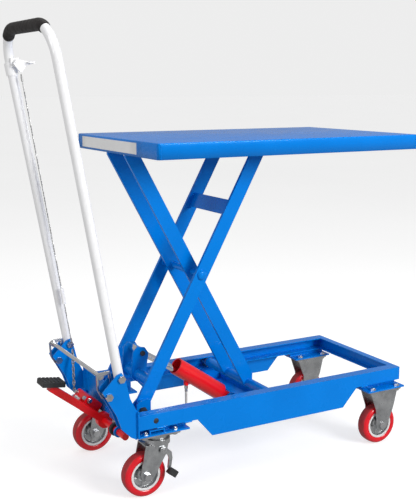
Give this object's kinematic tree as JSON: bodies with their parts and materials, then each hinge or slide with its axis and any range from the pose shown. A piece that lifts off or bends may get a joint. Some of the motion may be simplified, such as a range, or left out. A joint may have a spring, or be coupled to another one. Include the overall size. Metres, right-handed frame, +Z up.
{
  "type": "scissor lift table",
  "caption": "Hand-pushed scissor lift table: a steel platform on crossed arms over a wheeled frame, with a foot pump, a push handle and a release lever.",
  "frame": {"origin": "on the floor, under the centre of the bounding box, with the platform raised", "axes": "+Z up; +X from the handle towards the front wheels; +Y to the left of a person who pushes it"},
  "size_m": [0.9286, 0.45, 1.0509],
  "materials": {
    "blue_paint": "gloss enamel",
    "red_paint": "gloss enamel",
    "white_paint": "gloss powder coat",
    "zinc": "bright zinc plate",
    "chrome": "polished",
    "bronze": "plain",
    "red_tyre": "polyurethane",
    "black_foam": "matte foam",
    "black_rubber": "moulded",
    "hose": "ribbed",
    "cable": "stranded"
  },
  "bodies": {
    "frame": {"side_rails": "blue_paint", "front_cross_member": "blue_paint", "rear_cross_member": "blue_paint", "rear_plate": "blue_paint", "caster_mounts": "blue_paint", "handle_brackets": "blue_paint", "arm_lugs": "blue_paint", "frame_pivot_pins": "zinc", "handle_bracket_bolts": "zinc", "cylinder_cross_bar": "blue_paint", "pump_body": "red_paint", "pedal_shaft": "red_paint", "oil_hose": "hose", "caster_bolts": "zinc", "front_caster_forks": "zinc", "front_axles": "zinc", "rear_caster_plates": "zinc"},
    "outer_arms": {"outer_arms": "blue_paint", "arm_bushes": "bronze", "arm_brace": "blue_paint", "lift_lever": "blue_paint", "outer_arm_pins": "zinc"},
    "inner_arms": {"inner_arms": "blue_paint", "centre_shaft": "zinc", "lower_shaft": "zinc", "shaft_spacers": "blue_paint"},
    "platform": {"platform_tray": "blue_paint", "platform_guides": "blue_paint", "platform_lugs": "blue_paint"},
    "lower_rollers": {"lower_rollers": "zinc"},
    "upper_rollers": {"upper_rollers": "zinc"},
    "cylinder": {"cylinder_barrel": "red_paint", "hose_drop": "hose"},
    "lift_rod": {"lift_rod": "chrome"},
    "handle": {"handle_tube": "white_paint", "handle_grip": "black_foam", "lever_clamp": "white_paint"},
    "release_lever": {"release_lever": "white_paint"},
    "release_cable": {"release_cable": "cable"},
    "release_chain": {"release_chain": "zinc"},
    "valve_lever": {"valve_lever": "zinc"},
    "handle_latch": {"handle_latch": "zinc"},
    "pedal": {"pedal_arm": "red_paint", "pedal_pad": "black_rubber"},
    "pump_plunger": {"pump_plunger": "zinc"},
    "rear_left_swivel": {"rear_left_fork": "zinc", "rear_left_axle": "zinc"},
    "rear_right_swivel": {"rear_right_fork": "zinc", "rear_right_axle": "zinc"},
    "brake_left": {"brake_left": "zinc"},
    "brake_right": {"brake_right": "zinc"},
    "front_left_wheel": {"front_left_tyre": "red_tyre", "front_left_hub": "zinc"},
    "front_right_wheel": {"front_right_tyre": "red_tyre", "front_right_hub": "zinc"},
    "rear_left_wheel": {"rear_left_tyre": "red_tyre", "rear_left_hub": "zinc"},
    "rear_right_wheel": {"rear_right_tyre": "red_tyre", "rear_right_hub": "zinc"}
  },
  "joints": [
    {"name": "lift", "type": "hinge", "parent": "frame", "child": "outer_arms", "pos_m": [-0.23868, 0, 0.18], "axis": [0, 1, 0], "range_deg": [0, 54]},
    {"name": "scissor_centre", "type": "hinge", "parent": "outer_arms", "child": "inner_arms", "pos_m": [-0.07968, 0, 0.481], "axis": [0, 1, 0], "range_deg": [-108.2, 0]},
    {"name": "platform_pivot", "type": "hinge", "parent": "inner_arms", "child": "platform", "pos_m": [-0.23868, 0, 0.782], "axis": [0, 1, 0], "range_deg": [0, 54.2]},
    {"name": "lower_roller_spin", "type": "hinge", "parent": "inner_arms", "child": "lower_rollers", "pos_m": [0.07932, 0, 0.18], "axis": [0, 1, 0], "continuous": true},
    {"name": "upper_roller_spin", "type": "hinge", "parent": "outer_arms", "child": "upper_rollers", "pos_m": [0.07932, 0, 0.782], "axis": [0, 1, 0], "continuous": true},
    {"name": "cylinder_tilt", "type": "hinge", "parent": "frame", "child": "cylinder", "pos_m": [0.04832, 0, 0.135], "axis": [0, 1, 0], "range_deg": [-8, 0.2]},
    {"name": "rod_pivot", "type": "hinge", "parent": "outer_arms", "child": "lift_rod", "pos_m": [-0.20268, 0, 0.293], "axis": [0, 1, 0], "range_deg": [-60, 0.2]},
    {"name": "handle_fold", "type": "hinge", "parent": "frame", "child": "handle", "pos_m": [-0.31868, 0, 0.288], "axis": [0, 1, 0], "range_deg": [0, 12]},
    {"name": "handle_latch", "type": "hinge", "parent": "frame", "child": "handle_latch", "pos_m": [-0.34868, 0, 0.252], "axis": [0, 1, 0], "range_deg": [-30, 0]},
    {"name": "release_lever", "type": "hinge", "parent": "handle", "child": "release_lever", "pos_m": [-0.43168, 0, 0.966], "axis": [0, 1, 0], "range_deg": [-20, 0], "stiffness_Nm_per_rad": 0.3},
    {"name": "release_cable", "type": "slide", "parent": "handle", "child": "release_cable", "axis": [-0.1586, 0, 0.9873], "range_m": [-0.0001, 0.0052], "stiffness_N_per_m": 20, "springref_m": 0.027},
    {"name": "release_chain", "type": "slide", "parent": "frame", "child": "release_chain", "axis": [0.1089, 0.3313, 0.9372], "range_m": [-0.0001, 0.0052], "stiffness_N_per_m": 8, "springref_m": 0.023},
    {"name": "valve_lever", "type": "hinge", "parent": "frame", "child": "valve_lever", "pos_m": [-0.30368, 0.086, 0.168], "axis": [0, 1, 0], "range_deg": [-0.2, 13]},
    {"name": "pedal", "type": "hinge", "parent": "frame", "child": "pedal", "pos_m": [-0.29668, 0, 0.14], "axis": [0, 1, 0], "range_deg": [-28, 0], "stiffness_Nm_per_rad": 30, "springref_deg": 2.86},
    {"name": "pump_plunger", "type": "slide", "parent": "frame", "child": "pump_plunger", "axis": [0.788, 0, -0.6157], "range_m": [-0.0001, 0.0041]},
    {"name": "rear_left_swivel", "type": "hinge", "parent": "frame", "child": "rear_left_swivel", "pos_m": [-0.22468, 0.15, 0.132], "axis": [0, 0, 1], "continuous": true},
    {"name": "rear_right_swivel", "type": "hinge", "parent": "frame", "child": "rear_right_swivel", "pos_m": [-0.22468, -0.15, 0.132], "axis": [0, 0, 1], "continuous": true},
    {"name": "brake_left", "type": "hinge", "parent": "rear_left_swivel", "child": "brake_left", "pos_m": [-0.22268, 0, 0.108], "axis": [0, 1, 0], "range_deg": [0, 15]},
    {"name": "brake_right", "type": "hinge", "parent": "rear_right_swivel", "child": "brake_right", "pos_m": [-0.22268, 0, 0.108], "axis": [0, 1, 0], "range_deg": [0, 15]},
    {"name": "front_left_wheel_spin", "type": "hinge", "parent": "frame", "child": "front_left_wheel", "pos_m": [0.40332, 0, 0.051], "axis": [0, 1, 0], "continuous": true},
    {"name": "front_right_wheel_spin", "type": "hinge", "parent": "frame", "child": "front_right_wheel", "pos_m": [0.40332, 0, 0.051], "axis": [0, 1, 0], "continuous": true},
    {"name": "rear_left_wheel_spin", "type": "hinge", "parent": "rear_left_swivel", "child": "rear_left_wheel", "pos_m": [-0.26068, 0, 0.051], "axis": [0, 1, 0], "continuous": true},
    {"name": "rear_right_wheel_spin", "type": "hinge", "parent": "rear_right_swivel", "child": "rear_right_wheel", "pos_m": [-0.26068, 0, 0.051], "axis": [0, 1, 0], "continuous": true}
  ],
  "couplings": [
    {"joint": "scissor_centre", "follows": "lift", "ratio": -2},
    {"joint": "platform_pivot", "follows": "lift", "ratio": 1},
    {"joint": "cylinder_tilt", "follows": "lift", "ratio": -0.1383},
    {"joint": "rod_pivot", "follows": "lift", "ratio": -1.0894},
    {"joint": "release_cable", "follows": "release_lever", "m_per_rad": -0.014324},
    {"joint": "release_chain", "follows": "release_lever", "m_per_rad": -0.014324},
    {"joint": "valve_lever", "follows": "release_lever", "ratio": -0.6},
    {"joint": "pump_plunger", "follows": "pedal", "m_per_rad": -0.008185}
  ]
}
